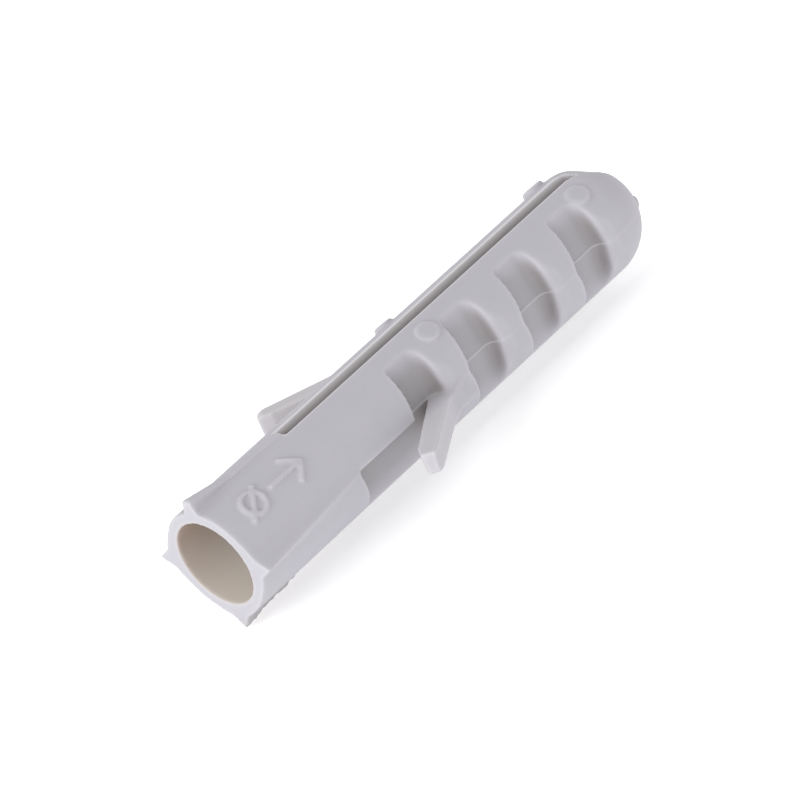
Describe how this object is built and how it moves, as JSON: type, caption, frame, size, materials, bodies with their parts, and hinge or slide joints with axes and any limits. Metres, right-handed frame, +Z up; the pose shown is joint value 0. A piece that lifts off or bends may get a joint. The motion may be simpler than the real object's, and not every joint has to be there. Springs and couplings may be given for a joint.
{
  "type": "wall anchor",
  "caption": "Slotted nylon expansion plug with a screw bore, anti-turn ribs, stepped side pockets and sprung locking tongues.",
  "frame": {"origin": "centre of the plug's mouth, on the axis of the screw bore", "axes": "+X from the mouth to the nose, +Z up through the expansion slot, +Y towards the left half"},
  "size_m": [0.0252, 0.0098, 0.006],
  "materials": {
    "moulded_nylon": "satin, slightly translucent"
  },
  "bodies": {
    "neck": {"neck_sleeve": "moulded_nylon", "anti_turn_ribs": "moulded_nylon", "raised_marks": "moulded_nylon"},
    "half_left": {"expansion_half_left": "moulded_nylon"},
    "half_right": {"expansion_half_right": "moulded_nylon"},
    "tongue_left": {"locking_tongue_left": "moulded_nylon"},
    "tongue_right": {"locking_tongue_right": "moulded_nylon"}
  },
  "joints": [
    {"name": "spread_left", "type": "hinge", "parent": "neck", "child": "half_left", "pos_m": [0.0052, 0.00233, 0], "axis": [0, 0, 1], "range_deg": [0, 4], "stiffness_Nm_per_rad": 0.2},
    {"name": "spread_right", "type": "hinge", "parent": "neck", "child": "half_right", "pos_m": [0.0052, -0.00233, 0], "axis": [0, 0, -1], "range_deg": [0, 4], "stiffness_Nm_per_rad": 0.2},
    {"name": "fold_left", "type": "hinge", "parent": "half_left", "child": "tongue_left", "pos_m": [0.0112, 0.0021, 0], "axis": [0, 0, 1], "range_deg": [0, 34], "stiffness_Nm_per_rad": 0.01},
    {"name": "fold_right", "type": "hinge", "parent": "half_right", "child": "tongue_right", "pos_m": [0.0112, -0.0021, 0], "axis": [0, 0, -1], "range_deg": [0, 34], "stiffness_Nm_per_rad": 0.01}
  ]
}
